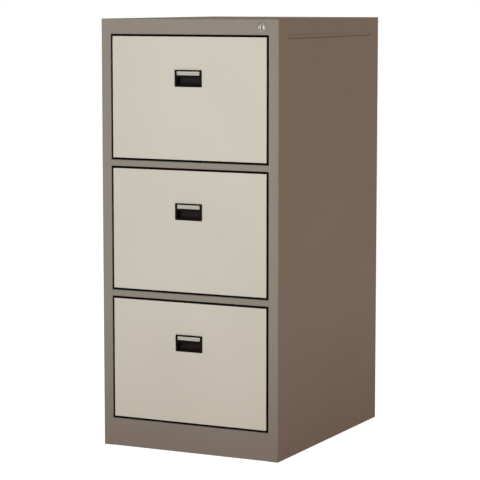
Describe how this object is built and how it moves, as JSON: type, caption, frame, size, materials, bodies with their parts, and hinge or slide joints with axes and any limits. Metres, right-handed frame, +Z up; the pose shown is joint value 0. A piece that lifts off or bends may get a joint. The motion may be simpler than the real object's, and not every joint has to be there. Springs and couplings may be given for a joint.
{
  "type": "filing cabinet",
  "caption": "Floor-standing vertical filing cabinet with full-extension drawers, recessed cup handles with label frames, and a gang lock in the top rail.",
  "frame": {"origin": "middle of the footprint, on the floor", "axes": "+Z up, -Y out of the front, +X to the right of someone facing the drawers"},
  "size_m": [0.46, 0.5874, 1.016],
  "materials": {
    "case_paint": "satin taupe powder coat",
    "drawer_paint": "satin warm off-white powder coat",
    "zinc_steel": "bright zinc plate",
    "lock_chrome": "satin nickel plate",
    "handle_plastic": "fine-grained black moulding",
    "black_trim": "matt black",
    "label_paper": "off-white card",
    "nylon": "natural nylon",
    "foot_plastic": "black moulding"
  },
  "bodies": {
    "cabinet": {"back_panel": "case_paint", "base_pan": "case_paint", "bottom_cabinet_runners": "zinc_steel", "left_front_post": "case_paint", "left_rear_post": "case_paint", "left_side_panel": "case_paint", "levelling_feet": "foot_plastic", "lock_bar_guides": "nylon", "lock_housing": "lock_chrome", "lock_nut": "zinc_steel", "lower_divider_rail": "case_paint", "middle_cabinet_runners": "zinc_steel", "plinth": "case_paint", "right_front_post": "case_paint", "right_rear_post": "case_paint", "right_side_panel": "case_paint", "top_cabinet_runners": "zinc_steel", "top_panel": "case_paint", "upper_divider_rail": "case_paint"},
    "bottom_drawer": {"bottom_drawer_back": "drawer_paint", "bottom_drawer_front": "drawer_paint", "bottom_drawer_handle": "handle_plastic", "bottom_drawer_label": "label_paper", "bottom_drawer_liner": "drawer_paint", "bottom_drawer_runners": "zinc_steel", "bottom_drawer_striker": "zinc_steel", "bottom_drawer_tray": "drawer_paint", "bottom_drawer_trim": "black_trim"},
    "bottom_middle_runners": {"bottom_middle_runners": "zinc_steel"},
    "bottom_outer_cages": {"bottom_outer_ball_cages": "zinc_steel"},
    "bottom_inner_cages": {"bottom_inner_ball_cages": "zinc_steel"},
    "middle_drawer": {"middle_drawer_back": "drawer_paint", "middle_drawer_front": "drawer_paint", "middle_drawer_handle": "handle_plastic", "middle_drawer_label": "label_paper", "middle_drawer_liner": "drawer_paint", "middle_drawer_runners": "zinc_steel", "middle_drawer_striker": "zinc_steel", "middle_drawer_tray": "drawer_paint", "middle_drawer_trim": "black_trim"},
    "middle_middle_runners": {"middle_middle_runners": "zinc_steel"},
    "middle_outer_cages": {"middle_outer_ball_cages": "zinc_steel"},
    "middle_inner_cages": {"middle_inner_ball_cages": "zinc_steel"},
    "top_drawer": {"top_drawer_back": "drawer_paint", "top_drawer_front": "drawer_paint", "top_drawer_handle": "handle_plastic", "top_drawer_label": "label_paper", "top_drawer_liner": "drawer_paint", "top_drawer_runners": "zinc_steel", "top_drawer_striker": "zinc_steel", "top_drawer_tray": "drawer_paint", "top_drawer_trim": "black_trim"},
    "top_middle_runners": {"top_middle_runners": "zinc_steel"},
    "top_outer_cages": {"top_outer_ball_cages": "zinc_steel"},
    "top_inner_cages": {"top_inner_ball_cages": "zinc_steel"},
    "lock_plug": {"lock_cam": "zinc_steel", "lock_plug": "lock_chrome"},
    "lock_bar": {"lock_bar": "zinc_steel", "lock_bar_head": "zinc_steel", "lock_bar_hooks": "zinc_steel"}
  },
  "joints": [
    {"name": "bottom_drawer_slide", "type": "slide", "parent": "cabinet", "child": "bottom_drawer", "axis": [0, -1, 0], "range_m": [0, 0.5]},
    {"name": "bottom_middle_runners_slide", "type": "slide", "parent": "cabinet", "child": "bottom_middle_runners", "axis": [0, -1, 0], "range_m": [0, 0.25]},
    {"name": "bottom_outer_cages_slide", "type": "slide", "parent": "cabinet", "child": "bottom_outer_cages", "axis": [0, -1, 0], "range_m": [0, 0.125]},
    {"name": "bottom_inner_cages_slide", "type": "slide", "parent": "cabinet", "child": "bottom_inner_cages", "axis": [0, -1, 0], "range_m": [0, 0.375]},
    {"name": "middle_drawer_slide", "type": "slide", "parent": "cabinet", "child": "middle_drawer", "axis": [0, -1, 0], "range_m": [0, 0.5]},
    {"name": "middle_middle_runners_slide", "type": "slide", "parent": "cabinet", "child": "middle_middle_runners", "axis": [0, -1, 0], "range_m": [0, 0.25]},
    {"name": "middle_outer_cages_slide", "type": "slide", "parent": "cabinet", "child": "middle_outer_cages", "axis": [0, -1, 0], "range_m": [0, 0.125]},
    {"name": "middle_inner_cages_slide", "type": "slide", "parent": "cabinet", "child": "middle_inner_cages", "axis": [0, -1, 0], "range_m": [0, 0.375]},
    {"name": "top_drawer_slide", "type": "slide", "parent": "cabinet", "child": "top_drawer", "axis": [0, -1, 0], "range_m": [0, 0.5]},
    {"name": "top_middle_runners_slide", "type": "slide", "parent": "cabinet", "child": "top_middle_runners", "axis": [0, -1, 0], "range_m": [0, 0.25]},
    {"name": "top_outer_cages_slide", "type": "slide", "parent": "cabinet", "child": "top_outer_cages", "axis": [0, -1, 0], "range_m": [0, 0.125]},
    {"name": "top_inner_cages_slide", "type": "slide", "parent": "cabinet", "child": "top_inner_cages", "axis": [0, -1, 0], "range_m": [0, 0.375]},
    {"name": "lock_plug_turn", "type": "hinge", "parent": "cabinet", "child": "lock_plug", "pos_m": [0.1883, -0.2925, 0.9978], "axis": [0, 1, 0], "range_deg": [0, 90]},
    {"name": "lock_bar_lift", "type": "slide", "parent": "cabinet", "child": "lock_bar", "axis": [0, 0, 1], "range_m": [0, 0.008]}
  ],
  "couplings": [
    {"joint": "bottom_middle_runners_slide", "follows": "bottom_drawer_slide", "ratio": 0.5},
    {"joint": "bottom_outer_cages_slide", "follows": "bottom_drawer_slide", "ratio": 0.25},
    {"joint": "bottom_inner_cages_slide", "follows": "bottom_drawer_slide", "ratio": 0.75},
    {"joint": "middle_middle_runners_slide", "follows": "middle_drawer_slide", "ratio": 0.5},
    {"joint": "middle_outer_cages_slide", "follows": "middle_drawer_slide", "ratio": 0.25},
    {"joint": "middle_inner_cages_slide", "follows": "middle_drawer_slide", "ratio": 0.75},
    {"joint": "top_middle_runners_slide", "follows": "top_drawer_slide", "ratio": 0.5},
    {"joint": "top_outer_cages_slide", "follows": "top_drawer_slide", "ratio": 0.25},
    {"joint": "top_inner_cages_slide", "follows": "top_drawer_slide", "ratio": 0.75},
    {"joint": "lock_plug_turn", "follows": "lock_bar_lift", "rad_per_m": 196.34}
  ]
}
